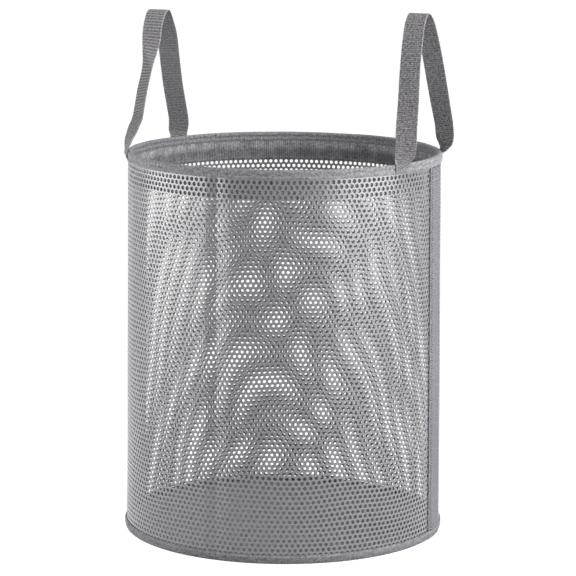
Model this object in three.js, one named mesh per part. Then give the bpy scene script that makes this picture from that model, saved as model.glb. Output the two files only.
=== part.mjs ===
// A pop up laundry hamper: a soft round body of punched cloth between two sprung hoops,
// with a side stay under each of its two webbing handles.
// Millimetres, +Z up. The origin is on the body's axis at floor level, and the handles are on +X and -X.

import * as THREE from "three";
import { mergeVertices } from "three/addons/utils/BufferGeometryUtils.js";

// Body
const rimDiameter = 380;
const footFlare = 7; // the foot is this much wider than the rim
const bodyHeight = 463;
const clearance = 0.3;

// Cloth
const wallThickness = 0.8;
const facingThickness = 0.8;
const facingDrop = 35;
const bindingThickness = 1;
const bindingHeight = 11;
const panelThickness = 1.2;

// The grid of openings that stands for each wall panel's punched holes
const openingsAcross = 11;
const openingsUp = 8;
const openingHeight = 28;
const openingMargin = 12; // of plain cloth beyond the grid, below the facing and above the foot binding

// Hoops and the sleeves that close them
const hoopWire = 2.2;
const sleeveWall = 0.4;
const sleeveLength = 16;
const hoopEndGap = 1;

// Side casings, their backing tapes and stays
const casingWidth = 38;
const casingThickness = 0.8;
const casingHem = 3;
const tapeThickness = 0.6;
const stayWire = 1.8;
const stayWidth = 26;
const stayCornerRadius = 10;
const stayHeadroom = 4;

// Handles
const webbingWidth = 25;
const webbingThickness = 1.2;
const handleSpan = 155; // between the middles of a handle's two ends
const handleRise = 158; // from the bending line to the middle of the strap at the top
const handleLean = 16; // the top stands this far inside the bending line
const bendRise = 8; // from the rim's top up to the bending line
const bendOutset = 8; // from the rim's side out to the bending line
const bendLead = 3; // of straight strap below the bending line
const bendGap = 1.2; // from the bending line to the start of the loop
const bendSlopeDegrees = 38; // of that straight strap, from upright
const twistLength = 40; // of strap in which the loop turns flat side out

// Fineness
const roundSteps = 72;
const openingSteps = 2;
const openingBarSteps = 1;
const wireSides = 6;
const stayLegSteps = 12;
const stayCornerSteps = 4;
const loopSteps = 44;
const loopColumns = 2;
const tabColumns = 6;

// Places worked out from the sizes
const rimRadius = rimDiameter / 2;
const footRadius = rimRadius + footFlare / 2;
const sleeveBore = hoopWire + 2 * clearance;
const sleeveDiameter = sleeveBore + 2 * sleeveWall;
const foldWidth = sleeveDiameter + 2 * clearance;
const hoopInset = bindingThickness + foldWidth / 2;
const topHoopHeight = bodyHeight - hoopInset;
const bottomHoopHeight = hoopInset;
const panelBottom = bottomHoopHeight + foldWidth / 2;
const wallBottom = panelBottom + panelThickness + clearance;
const wallTop = topHoopHeight - foldWidth / 2;
const wallTopRadius = rimRadius - bindingThickness - clearance;
const wallBottomRadius = footRadius - bindingThickness - clearance;
const casingBottom = bindingHeight + clearance;
const casingTop = bodyHeight - bindingHeight - clearance;
const handleEndAngle = Math.asin(handleSpan / 2 / rimRadius);
const bendX = rimRadius * Math.cos(handleEndAngle) + bendOutset;
const bendHeight = bodyHeight + bendRise;
const quarterTurn = Math.PI / 2;

// Colours
const cloth = (color, roughness) => new THREE.MeshStandardMaterial({ color, roughness, metalness: 0 });
const meshCloth = cloth(0xa6a6aa, 0.75);
const bindingCloth = cloth(0x96969a, 0.85);
const facingCloth = cloth(0x7c7c80, 0.9);
const casingCloth = cloth(0x9a9a9e, 0.85);
const webbing = cloth(0x85858a, 0.85);
const springSteel = new THREE.MeshStandardMaterial({ color: 0xb8b8bb, roughness: 0.35, metalness: 1 });

const hamper = new THREE.Group();

function weld(geometry) {
  geometry.deleteAttribute("normal");
  geometry.deleteAttribute("uv");
  const welded = mergeVertices(geometry);
  welded.computeVertexNormals();
  return welded;
}

function piece(name, geometry, material, parent = hamper) {
  const mesh = new THREE.Mesh(geometry, material);
  mesh.name = name;
  parent.add(mesh);
  return mesh;
}

// A body of revolution. The outline's [radius, height] points run anticlockwise, outer side upwards.
function turned(outline) {
  const points = outline.map(([radius, height]) => new THREE.Vector2(radius, height));
  return weld(new THREE.LatheGeometry(points, roundSteps).rotateX(quarterTurn));
}

function ring(outline) {
  return turned([...outline, outline[0]]);
}

// A closed sheet over a grid. place(column, row, face) gives a vertex: face 0 is outside, 1 is inside.
// isOpen(column, row) says which of the grid's cells are left out.
function sheet(columns, rows, place, isOpen = () => false) {
  const positions = [];
  const faces = [];
  const index = (column, row, face) => (face * (rows + 1) + row) * (columns + 1) + column;
  const isCloth = (column, row) =>
    column >= 0 && row >= 0 && column < columns && row < rows && !isOpen(column, row);
  for (let face = 0; face < 2; face++) {
    for (let row = 0; row <= rows; row++) {
      for (let column = 0; column <= columns; column++) {
        positions.push(...place(column, row, face).toArray());
      }
    }
  }
  const quad = (a, b, c, d) => faces.push(a, b, c, a, c, d);
  for (let row = 0; row < rows; row++) {
    for (let column = 0; column < columns; column++) {
      if (!isCloth(column, row)) continue;
      const [right, up] = [column + 1, row + 1];
      const corners = [[column, row], [right, row], [right, up], [column, up]];
      quad(...corners.map(([c, r]) => index(c, r, 0)));
      quad(...corners.reverse().map(([c, r]) => index(c, r, 1)));
      const edge = (a, b) => quad(index(...a, 0), index(...a, 1), index(...b, 1), index(...b, 0));
      if (!isCloth(column - 1, row)) edge([column, up], [column, row]);
      if (!isCloth(right, row)) edge([right, row], [right, up]);
      if (!isCloth(column, row - 1)) edge([column, row], [right, row]);
      if (!isCloth(column, up)) edge([right, up], [column, up]);
    }
  }
  const geometry = new THREE.BufferGeometry();
  geometry.setAttribute("position", new THREE.Float32BufferAttribute(positions, 3));
  geometry.setIndex(faces);
  geometry.computeVertexNormals();
  return geometry;
}

function around(radius, angle, height) {
  return new THREE.Vector3(radius * Math.cos(angle), radius * Math.sin(angle), height);
}

// The outside of the wall, which widens a little towards the foot.
function wallRadius(height) {
  return THREE.MathUtils.mapLinear(height, wallBottom, wallTop, wallBottomRadius, wallTopRadius);
}

// A sheet that follows the wall: offset(column) is its outer face's distance outside the wall.
function wallSheet(angles, heights, offset, thickness, isOpen) {
  const place = (column, row, face) => {
    const radius = wallRadius(heights[row]) + offset(column) - (face ? thickness : 0);
    return around(radius, angles[column], heights[row]);
  };
  return sheet(angles.length - 1, heights.length - 1, place, isOpen);
}

// A round rod along a curve. A bore makes it a tube.
function rod(curve, diameter, steps, bore = 0) {
  const circle = (radius) => {
    const points = [];
    for (let side = 0; side < wireSides; side++) {
      const angle = (side / wireSides) * Math.PI * 2;
      points.push(new THREE.Vector2(radius * Math.cos(angle), radius * Math.sin(angle)));
    }
    return points;
  };
  const section = new THREE.Shape(circle(diameter / 2));
  if (bore) section.holes.push(new THREE.Path(circle(bore / 2)));
  return weld(new THREE.ExtrudeGeometry(section, { steps, extrudePath: curve }));
}

class LevelArc extends THREE.Curve {
  constructor(radius, height, start, end) {
    super();
    Object.assign(this, { radius, height, start, end });
  }

  getPoint(share, target = new THREE.Vector3()) {
    return target.copy(around(this.radius, THREE.MathUtils.lerp(this.start, this.end, share), this.height));
  }
}

// The body's two panels meet behind the casings, at +X and -X. Each has its grid of openings.
function addWalls() {
  const halfSteps = roundSteps / 2;
  const openingPitch = openingSteps + openingBarSteps;
  const plainSteps = (halfSteps - openingsAcross * openingPitch + openingBarSteps) / 2;
  const gridBottom = bindingHeight + openingMargin;
  const gridTop = bodyHeight - facingDrop - openingMargin;
  const barHeight = (gridTop - gridBottom - openingsUp * openingHeight) / (openingsUp - 1);
  const heights = [wallBottom];
  for (let row = 0; row < openingsUp; row++) {
    const sill = gridBottom + row * (openingHeight + barHeight);
    heights.push(sill, sill + openingHeight);
  }
  heights.push(wallTop);
  const isOpen = (column, row) => {
    const across = column - plainSteps;
    const inGrid = across >= 0 && across < openingsAcross * openingPitch - openingBarSteps;
    return inGrid && across % openingPitch < openingSteps && row % 2 === 1;
  };
  for (const [name, start] of [["mesh_wall_back", 0], ["mesh_wall_front", Math.PI]]) {
    const seam = clearance / 2 / wallTopRadius;
    const angles = Array.from({ length: halfSteps + 1 }, (_, step) => start + (step / halfSteps) * Math.PI);
    angles[0] += seam;
    angles[halfSteps] -= seam;
    piece(name, wallSheet(angles, heights, () => 0, wallThickness, isOpen), meshCloth);
  }
}

function addRim() {
  const outer = rimRadius - bindingThickness;
  const inner = outer - foldWidth;
  const skirt = bodyHeight - bindingHeight;
  const web = bodyHeight - bindingThickness;
  piece(
    "top_binding",
    ring([
      [rimRadius, skirt],
      [rimRadius, bodyHeight],
      [inner - bindingThickness, bodyHeight],
      [inner - bindingThickness, skirt],
      [inner, skirt],
      [inner, web],
      [outer, web],
      [outer, skirt],
    ]),
    bindingCloth,
  );
  const facingInner = inner + clearance;
  const facingOuter = facingInner + facingThickness;
  piece(
    "rim_facing",
    ring([
      [facingOuter, bodyHeight - facingDrop],
      [facingOuter, wallTop],
      [facingInner, wallTop],
      [facingInner, bodyHeight - facingDrop],
    ]),
    facingCloth,
  );
  addHoop("top_hoop", rimRadius - hoopInset, topHoopHeight);
}

function addFoot() {
  const outer = footRadius - bindingThickness;
  const inner = outer - foldWidth;
  const lip = panelBottom - clearance;
  piece(
    "bottom_binding",
    ring([
      [footRadius, 0],
      [footRadius, bindingHeight],
      [outer, bindingHeight],
      [outer, bindingThickness],
      [inner, bindingThickness],
      [inner, lip],
      [inner - bindingThickness, lip],
      [inner - bindingThickness, 0],
    ]),
    bindingCloth,
  );
  const panelRadius = outer - clearance;
  piece(
    "base_panel",
    turned([
      [0, panelBottom],
      [panelRadius, panelBottom],
      [panelRadius, panelBottom + panelThickness],
      [0, panelBottom + panelThickness],
    ]),
    facingCloth,
  );
  addHoop("bottom_hoop", footRadius - hoopInset, bottomHoopHeight);
}

// A hoop of spring wire whose ends meet in a crimped sleeve at the back of the body.
function addHoop(name, radius, height) {
  const halfGap = hoopEndGap / 2 / radius;
  const halfSleeve = sleeveLength / 2 / radius;
  const wire = new LevelArc(radius, height, quarterTurn + halfGap, quarterTurn + 2 * Math.PI - halfGap);
  const sleeve = new LevelArc(radius, height, quarterTurn - halfSleeve, quarterTurn + halfSleeve);
  piece(name, rod(wire, hoopWire, roundSteps), springSteel);
  piece(name + "_sleeve", rod(sleeve, sleeveDiameter, 2, sleeveBore), springSteel);
}

// A casing is sewn down along its two hems and stands off the wall between them, over its stay.
function addCasing(side, parent) {
  const pocketHalf = stayWidth / 2 + stayWire / 2 + 2 * clearance;
  const hemHalf = casingWidth / 2 - casingHem;
  const reaches = [casingWidth / 2, hemHalf, pocketHalf, 0, -pocketHalf, -hemHalf, -casingWidth / 2];
  const angles = reaches.map((reach) => -reach / rimRadius);
  const pocketDepth = stayWire + clearance;
  const lifts = reaches.map((reach) => (Math.abs(reach) > pocketHalf ? 0 : pocketDepth));
  const offset = (column) => clearance + lifts[column] + casingThickness;
  piece(
    "seam_casing_" + side,
    wallSheet(angles, [casingBottom, casingTop], offset, casingThickness),
    casingCloth,
    parent,
  );
  const tapeOffset = () => -wallThickness - clearance;
  piece(
    "backing_tape_" + side,
    wallSheet(angles, [wallBottom, wallTop], tapeOffset, tapeThickness),
    casingCloth,
    parent,
  );
  piece("side_stay_" + side, stayGeometry(), springSteel, parent);
}

// A flat U of spring wire that stands in the casing, its bend at the foot.
function stayGeometry() {
  const half = stayWidth / 2;
  const bottom = casingBottom + clearance + stayWire / 2;
  const bendTop = bottom + stayCornerRadius;
  const legTop = casingTop - stayHeadroom;
  const outline = [];
  for (let step = stayLegSteps; step > 0; step--) {
    outline.push([half, THREE.MathUtils.lerp(bendTop, legTop, step / stayLegSteps)]);
  }
  for (let step = 0; step <= stayCornerSteps; step++) {
    const turn = (step / stayCornerSteps) * quarterTurn;
    const reach = half - stayCornerRadius + stayCornerRadius * Math.cos(turn);
    outline.push([reach, bendTop - stayCornerRadius * Math.sin(turn)]);
  }
  const mirrored = outline.map(([reach, height]) => [-reach, height]).reverse();
  const points = [...outline, ...mirrored].map(([reach, height]) =>
    around(wallRadius(height) + clearance + stayWire / 2, reach / rimRadius, height),
  );
  return rod(new THREE.CatmullRomCurve3(points, false, "centripetal"), stayWire, points.length * 2);
}

// A handle's sewn end: flat on the rim binding, then out to the bending line above it.
function tabGeometry(end) {
  const bindingBottom = bodyHeight - bindingHeight;
  const slope = THREE.MathUtils.degToRad(bendSlopeDegrees);
  const lead = new THREE.Vector3(Math.sin(slope), 0, Math.cos(slope));
  const face = new THREE.Vector3(Math.cos(slope), 0, -Math.sin(slope));
  const seated = (across, proud, height) =>
    around(rimRadius + clearance + proud, end * handleEndAngle + across / rimRadius, height);
  const bent = (across, proud, below) =>
    new THREE.Vector3(bendX, (end * handleSpan) / 2 + across, bendHeight)
      .addScaledVector(lead, -below)
      .addScaledVector(face, proud - webbingThickness / 2);
  return sheet(tabColumns, 3, (column, row, inside) => {
    const across = (column / tabColumns - 1 / 2) * webbingWidth;
    const proud = inside ? 0 : webbingThickness;
    if (row < 2) return seated(across, proud, row ? bodyHeight : bindingBottom);
    return bent(across, proud, row === 2 ? bendLead : 0);
  });
}

// Shares of half the span outwards and of the rise upwards, from one end of the strap to its top.
const loopSpanShares = [1, 1.02, 0.98, 0.8, 0.61, 0.38, 0.17];
const loopRiseShares = [0, 0.1, 0.2, 0.41, 0.63, 0.83, 0.955];

// The loop between the two bending lines. It leaves each one edge on and turns flat side out.
function loopGeometry() {
  const place = (end, span, rise) =>
    new THREE.Vector3(
      bendX - handleLean * rise,
      end * (handleSpan / 2) * span,
      bendHeight + bendGap + (handleRise - bendGap) * rise,
    );
  const leg = (end) => loopSpanShares.map((span, i) => place(end, span, loopRiseShares[i]));
  const curve = new THREE.CatmullRomCurve3([...leg(-1), place(1, 0, 1), ...leg(1).reverse()]);
  const length = curve.getLength();
  const faceOut = new THREE.Vector3(handleRise, 0, handleLean).normalize();
  const upright = new THREE.Vector3(0, 0, 1);
  return sheet(loopColumns, loopSteps, (column, row, face) => {
    const share = row / loopSteps;
    const atEnd = row === 0 || row === loopSteps;
    const along = atEnd ? upright.clone().multiplyScalar(row ? -1 : 1) : curve.getTangentAt(share);
    const fromEnd = Math.min(share, 1 - share) * length;
    const twist = THREE.MathUtils.smoothstep(fromEnd, 0, twistLength) * quarterTurn;
    const flat = new THREE.Vector3().crossVectors(faceOut, along).normalize();
    const width = flat.multiplyScalar(Math.cos(twist)).addScaledVector(faceOut, -Math.sin(twist));
    const thick = new THREE.Vector3().crossVectors(width, along).normalize();
    return curve
      .getPointAt(share)
      .addScaledVector(width, (column / loopColumns - 1 / 2) * webbingWidth)
      .addScaledVector(thick, (1 / 2 - face) * webbingThickness);
  });
}

function addHandle(side, ends, parent) {
  piece("handle_loop_" + side, loopGeometry(), webbing, parent);
  for (const [place, end] of ends) {
    piece("handle_tab_" + side + "_" + place, tabGeometry(end), webbing, parent);
  }
}

// Each side is the same set of pieces, turned half round for the left one.
function addSide(side, turn, ends) {
  const group = new THREE.Group();
  group.rotation.z = turn;
  addCasing(side, group);
  addHandle(side, ends, group);
  hamper.add(group);
}

addWalls();
addRim();
addFoot();
addSide("right", 0, [["front", -1], ["back", 1]]);
addSide("left", Math.PI, [["back", -1], ["front", 1]]);

export default hamper;
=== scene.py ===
import math

import bmesh
import bpy
import numpy as np
from mathutils import Matrix, Vector


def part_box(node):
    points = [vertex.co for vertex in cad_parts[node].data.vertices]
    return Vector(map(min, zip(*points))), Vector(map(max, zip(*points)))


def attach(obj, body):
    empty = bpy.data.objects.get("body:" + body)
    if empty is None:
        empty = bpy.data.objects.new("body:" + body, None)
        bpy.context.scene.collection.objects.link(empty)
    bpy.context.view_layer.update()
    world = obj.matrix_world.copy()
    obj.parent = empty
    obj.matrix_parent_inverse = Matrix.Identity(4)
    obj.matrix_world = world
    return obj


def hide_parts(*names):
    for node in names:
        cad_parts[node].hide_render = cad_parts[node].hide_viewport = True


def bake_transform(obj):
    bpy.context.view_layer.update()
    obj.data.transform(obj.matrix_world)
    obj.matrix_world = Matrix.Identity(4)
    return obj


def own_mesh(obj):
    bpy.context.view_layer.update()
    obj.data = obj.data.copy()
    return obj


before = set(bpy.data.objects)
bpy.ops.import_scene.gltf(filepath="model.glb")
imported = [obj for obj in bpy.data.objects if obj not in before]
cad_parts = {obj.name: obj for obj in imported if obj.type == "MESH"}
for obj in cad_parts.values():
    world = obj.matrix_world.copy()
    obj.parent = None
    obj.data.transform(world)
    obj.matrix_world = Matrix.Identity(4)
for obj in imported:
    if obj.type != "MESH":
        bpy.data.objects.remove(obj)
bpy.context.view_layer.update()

mm = 0.001
turn = 2 * math.pi
rightSeam, leftSeam = 0.0, math.pi

# Places taken from the frame
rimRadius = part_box("top_binding")[1].x
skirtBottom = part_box("top_binding")[0].z
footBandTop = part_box("bottom_binding")[1].z
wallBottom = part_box("mesh_wall_front")[0].z
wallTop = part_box("mesh_wall_front")[1].z
wallFootRadius = -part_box("mesh_wall_front")[0].y
facingBottom, facingTop = (corner.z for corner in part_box("rim_facing"))
casingBottom, casingTop = (corner.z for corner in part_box("seam_casing_right"))
stayBottom, stayTop = (corner.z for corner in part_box("side_stay_right"))
panelBottom, panelTop = (corner.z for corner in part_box("base_panel"))

# The cloth surface, which the walls, tapes, casings and bindings all follow
cloth = {
    "rimInset": 1.3 * mm,
    "creaseAngle": math.radians(-95.5),
    "creaseDepth": 2.5 * mm,
    "creaseLeft": 14 * mm,
    "creaseRight": 18 * mm,
    "creaseSharpness": 1.35,
    "creaseAtHoops": 0.6,
    "slackness": 0.8 * mm,
    "tautBesideSeam": 18 * mm,
    "slackBeyond": 60 * mm,
    "tautFootShare": 0.12,
    "tautRimShares": (0.86, 0.97),
    # waves round the body, phase, drift with height, half waves up, phase, share of the slack
    "slackWaves": ((3, 0.6, 0, 1, 0, 0.5), (7, -2.1, 2.5, 2, 0.5, 0.3), (13, 4.0, -3, 3, 1.1, 0.2)),
}
wallRimRadius = rimRadius - cloth["rimInset"]


def smoothStep(value, low, high):
    share = np.clip((value - low) / (high - low), 0, 1)
    return share * share * (3 - 2 * share)


def bump(value, middle, width):
    return np.exp(-(((value - middle) / width) ** 2))


def roundAngles(count):
    return np.arange(count) / count * turn


def unit(vectors):
    return vectors / np.linalg.norm(vectors, axis=1)[:, None]


def squareTo(ahead, vectors):  # what of each vector is at right angles to the way ahead
    return unit(vectors - (vectors * ahead).sum(1)[:, None] * ahead)


def runLength(points):  # length along a line, at each of its points
    return np.concatenate([[0], np.cumsum(np.linalg.norm(np.diff(points, axis=0), axis=1))])


def plainRadius(height):
    share = (height - wallBottom) / (wallTop - wallBottom)
    return wallFootRadius + (wallRimRadius - wallFootRadius) * share


def fromSeam(angle):  # distance round the body to the nearer side seam
    return np.abs((angle + math.pi / 2) % math.pi - math.pi / 2) * rimRadius


def creaseShape(angle):
    offset = ((angle - cloth["creaseAngle"] + math.pi) % turn - math.pi) * rimRadius
    left = np.clip(1 + offset / cloth["creaseLeft"], 0, 1)
    right = np.clip(1 - offset / cloth["creaseRight"], 0, 1)
    return np.where(offset < 0, left, right) ** cloth["creaseSharpness"]


def slackShape(angle, height):
    rise = (height - wallBottom) / (wallTop - wallBottom)
    slack = 0
    for count, phase, drift, up, start, share in cloth["slackWaves"]:
        around = np.sin(count * angle + phase + drift * rise)
        slack = slack + share * around * np.sin(up * math.pi * rise + start)
    return slack


def wallRadius(angle, height):
    rise = np.clip((height - wallBottom) / (wallTop - wallBottom), 0, 1)
    held = smoothStep(rise, 0, cloth["tautFootShare"]) * (1 - smoothStep(rise, *cloth["tautRimShares"]))
    free = smoothStep(fromSeam(angle), cloth["tautBesideSeam"], cloth["slackBeyond"])
    crease = cloth["creaseDepth"] * (cloth["creaseAtHoops"] + (1 - cloth["creaseAtHoops"]) * held)
    slack = cloth["slackness"] * held * free * slackShape(angle, height)
    return plainRadius(height) + slack - crease * creaseShape(angle)


# Mesh making
def newObject(name, data):
    made = bpy.data.objects.new(name, data)
    bpy.context.scene.collection.objects.link(made)
    return made


def addPiece(name, mesh, material):
    piece = newObject(name, mesh)
    mesh.materials.clear()
    mesh.materials.append(material)
    return piece


def squashWithBody(piece):  # gives the piece its own copy of its mesh
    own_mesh(piece)


def gridMesh(name, points, along, across, looped=False):
    # columns of a closed profile; along and across are the places on the flat cloth
    count, size = points.shape[:2]
    runs = count if looped else count - 1
    i, j = (grid.ravel() for grid in np.meshgrid(np.arange(runs), np.arange(size), indexing="ij"))
    nextI, nextJ = (i + 1) % count, (j + 1) % size
    faces = np.stack([i * size + j, nextI * size + j, nextI * size + nextJ, i * size + nextJ], 1)
    u = np.stack([along[i], along[i + 1], along[i + 1], along[i]], 1)
    v = np.stack([across[j], across[j], across[j + 1], across[j + 1]], 1)
    flat = np.stack([u, v], 2).reshape(-1, 2)
    faceList = faces.tolist()
    if not looped:
        faceList += [list(range(size)), list(range((count - 1) * size, count * size))]
        ends = [[along[0], across[k]] for k in range(size)] + [[along[-1], across[k]] for k in range(size)]
        flat = np.vstack([flat, np.array(ends)])
    mesh = bpy.data.meshes.new(name)
    mesh.from_pydata(points.reshape(-1, 3).tolist(), [], faceList)
    layer = mesh.uv_layers.new(name="clothPlace")
    layer.uv.foreach_set("vector", flat.astype(np.float32).ravel())
    mesh.polygons.foreach_set("use_smooth", [True] * len(faces) + [False] * (len(faceList) - len(faces)))
    work = bmesh.new()
    work.from_mesh(mesh)
    bmesh.ops.recalc_face_normals(work, faces=work.faces)
    work.to_mesh(mesh)
    work.free()
    return mesh


def profileSteps(outline):  # running length round a closed outline, first point repeated at the end
    return runLength(np.vstack([outline, outline[:1]]))


def ringMesh(name, angles, radius, height):  # radius and height of every profile point at every angle
    points = np.stack([radius * np.cos(angles[:, None]), radius * np.sin(angles[:, None]), height], 2)
    along = np.append(angles, angles[0] + turn) * rimRadius
    return gridMesh(name, points, along, profileSteps(np.stack([radius[0], height[0]], 1)), looped=True)


def tubeMesh(name, route, radius, sides):
    ahead = unit(np.gradient(route, axis=0))
    outward = squareTo(ahead, route * [1, 1, 0])
    sideways = np.cross(ahead, outward)
    swing = roundAngles(sides)
    points = (route[:, None] + radius * np.cos(swing)[None, :, None] * outward[:, None]
              + radius * np.sin(swing)[None, :, None] * sideways[:, None])
    return gridMesh(name, points, runLength(route), np.append(swing, turn) * radius)


def paint(mesh, name, values):  # a value at every point, which the material reads
    layer = mesh.attributes.new(name, "FLOAT", "POINT")
    layer.data.foreach_set("value", values.ravel().astype(np.float32))
    return mesh


def pointsOf(mesh):
    points = np.empty(len(mesh.vertices) * 3)
    mesh.vertices.foreach_get("co", points)
    return points.reshape(-1, 3)


def layFlat(mesh, flat):  # gives every point its place on the flat cloth
    corners = np.empty(len(mesh.loops), dtype=np.int32)
    mesh.loops.foreach_get("vertex_index", corners)
    layer = mesh.uv_layers.new(name="clothPlace")
    layer.uv.foreach_set("vector", flat[corners].astype(np.float32).ravel())


# Nodes
def nodeGroup(name, kind, inputs, outputs):
    group = bpy.data.node_groups.new(name, kind)
    for flow, sockets in (("INPUT", inputs), ("OUTPUT", outputs)):
        for label, form in sockets.items():
            group.interface.new_socket(label, in_out=flow, socket_type="NodeSocket" + form)
    entry, leave = group.nodes.new("NodeGroupInput"), group.nodes.new("NodeGroupOutput")
    return group, entry.outputs, leave.inputs


def feed(tree, socket, value):
    if isinstance(value, bpy.types.NodeSocket):
        tree.links.new(value, socket)
    else:
        socket.default_value = value


def place(tree, kind, inputs=None, **settings):
    node = tree.nodes.new(kind)
    for setting, value in settings.items():
        setattr(node, setting, value)
    for key, value in (inputs or {}).items():
        feed(tree, node.inputs[key], value)
    return node


def calc(tree, operation, *values):
    return place(tree, "ShaderNodeMath", dict(enumerate(values)), operation=operation).outputs[0]


def endTree(tree, geometry, material, leave):
    whole = place(tree, "GeometryNodeRealizeInstances", {"Geometry": geometry})
    dressed = place(tree, "GeometryNodeSetMaterial", {"Geometry": whole.outputs[0], "Material": material})
    feed(tree, leave["Geometry"], dressed.outputs[0])
    return tree


def growMesh(source, tree, values):
    modifier = source.modifiers.new(tree.name, "NODES")
    modifier.node_group = tree
    for item in tree.interface.items_tree:
        if item.in_out == "INPUT" and item.name in values:
            modifier[item.identifier] = values[item.name]
    bpy.context.view_layer.update()
    seen = source.evaluated_get(bpy.context.evaluated_depsgraph_get())
    mesh = bpy.data.meshes.new_from_object(seen)
    source.modifiers.remove(modifier)
    return mesh


# Colours, given as the sRGB values that a screen shows
def tone(red, green, blue):
    def linear(value):
        share = value / 255
        return share / 12.92 if share <= 0.04045 else ((share + 0.055) / 1.055) ** 2.4
    return (linear(red), linear(green), linear(blue))


# Shader groups shared by the cloths and the steel
weaving = {
    "unevenness": 0.3, "wobbleScale": 180.0, "wobbleDetail": 2.0,
    "grainDetail": 4.0, "grainRoughness": 0.7, "threadShade": 0.35,
}
wearing = {"broadDetail": 4.0, "closeScale": 75.0, "closeDetail": 3.0, "closeShare": 0.4}


def weaveGroup():
    # two sets of threads crossing, on the flat cloth; ribbing lets the warp stand out as ribs or a twill
    group, given, leave = nodeGroup(
        "threadWeave", "ShaderNodeTree",
        {"Place": "Vector", "Warp Pitch": "Float", "Weft Pitch": "Float", "Slant": "Float",
         "Ribbing": "Float", "Unevenness": "Float", "Grain": "Float", "Grit": "Float"},
        {"Height": "Float", "Shade": "Float"})
    turned = place(group, "ShaderNodeVectorRotate", {"Vector": given["Place"], "Angle": given["Slant"]},
                   rotation_type="Z_AXIS")
    wobble = place(group, "ShaderNodeTexNoise", {
        "Vector": given["Place"], "Scale": weaving["wobbleScale"], "Detail": weaving["wobbleDetail"]})
    parts = place(group, "ShaderNodeSeparateXYZ", {"Vector": turned.outputs[0]})
    drift = calc(group, "MULTIPLY", calc(group, "SUBTRACT", wobble.outputs["Fac"], 0.5), given["Unevenness"])
    waves = []
    for axis, pitch in (("X", "Warp Pitch"), ("Y", "Weft Pitch")):
        count = calc(group, "ADD", calc(group, "DIVIDE", parts.outputs[axis], given[pitch]), drift)
        waves.append(calc(group, "COSINE", calc(group, "MULTIPLY", count, turn)))
    ribs = calc(group, "MULTIPLY", waves[0], -1.0)
    crossed = calc(group, "MULTIPLY", waves[0], waves[1])
    mixed = calc(group, "ADD", calc(group, "MULTIPLY", ribs, given["Ribbing"]),
                 calc(group, "MULTIPLY", crossed, calc(group, "SUBTRACT", 1.0, given["Ribbing"])))
    feed(group, leave["Height"], calc(group, "MULTIPLY_ADD", mixed, 0.5, 0.5))
    grain = place(group, "ShaderNodeTexNoise", {
        "Vector": given["Place"], "Scale": given["Grain"],
        "Detail": weaving["grainDetail"], "Roughness": weaving["grainRoughness"]})
    spread = calc(group, "MULTIPLY", calc(group, "SUBTRACT", grain.outputs["Fac"], 0.5), given["Grit"])
    threads = calc(group, "MULTIPLY_ADD", mixed, weaving["threadShade"], 0.5)
    feed(group, leave["Shade"], calc(group, "ADD", spread, threads))
    return group


def wearGroup():
    # slow unevenness of colour and shine, as handled cloth has
    group, given, leave = nodeGroup(
        "softWear", "ShaderNodeTree", {"Place": "Vector", "Scale": "Float", "Strength": "Float"},
        {"Tint": "Float", "Rub": "Float"})
    broad = place(group, "ShaderNodeTexNoise", {
        "Vector": given["Place"], "Scale": given["Scale"], "Detail": wearing["broadDetail"]})
    close = place(group, "ShaderNodeTexNoise", {
        "Vector": given["Place"], "Scale": wearing["closeScale"], "Detail": wearing["closeDetail"]})
    fine = calc(group, "MULTIPLY", calc(group, "SUBTRACT", close.outputs["Fac"], 0.5), wearing["closeShare"])
    both = calc(group, "ADD", calc(group, "SUBTRACT", broad.outputs["Fac"], 0.5), fine)
    feed(group, leave["Tint"], calc(group, "MULTIPLY_ADD", both, given["Strength"], 1.0))
    feed(group, leave["Rub"], close.outputs["Fac"])
    return group


weave, wear = weaveGroup(), wearGroup()


def newMaterial(name):
    material = bpy.data.materials.new(name)
    material.use_nodes = True
    return material, material.node_tree, material.node_tree.nodes["Principled BSDF"]


def finishSurface(nodes, shader, look, shade, rub, height):
    # the colour times its shade, a roughness that rubbing changes, and the relief
    colour = place(nodes, "ShaderNodeVectorMath", {0: look["colour"], "Scale": shade}, operation="SCALE")
    rough = calc(nodes, "MULTIPLY_ADD", rub, look["rubbing"], look["roughness"] - look["rubbing"] / 2)
    relief = place(nodes, "ShaderNodeBump", {
        "Strength": look["relief"], "Distance": look["depth"], "Height": height})
    feed(nodes, shader.inputs["Base Color"], colour.outputs[0])
    feed(nodes, shader.inputs["Roughness"], rough)
    feed(nodes, shader.inputs["Normal"], relief.outputs[0])


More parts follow.
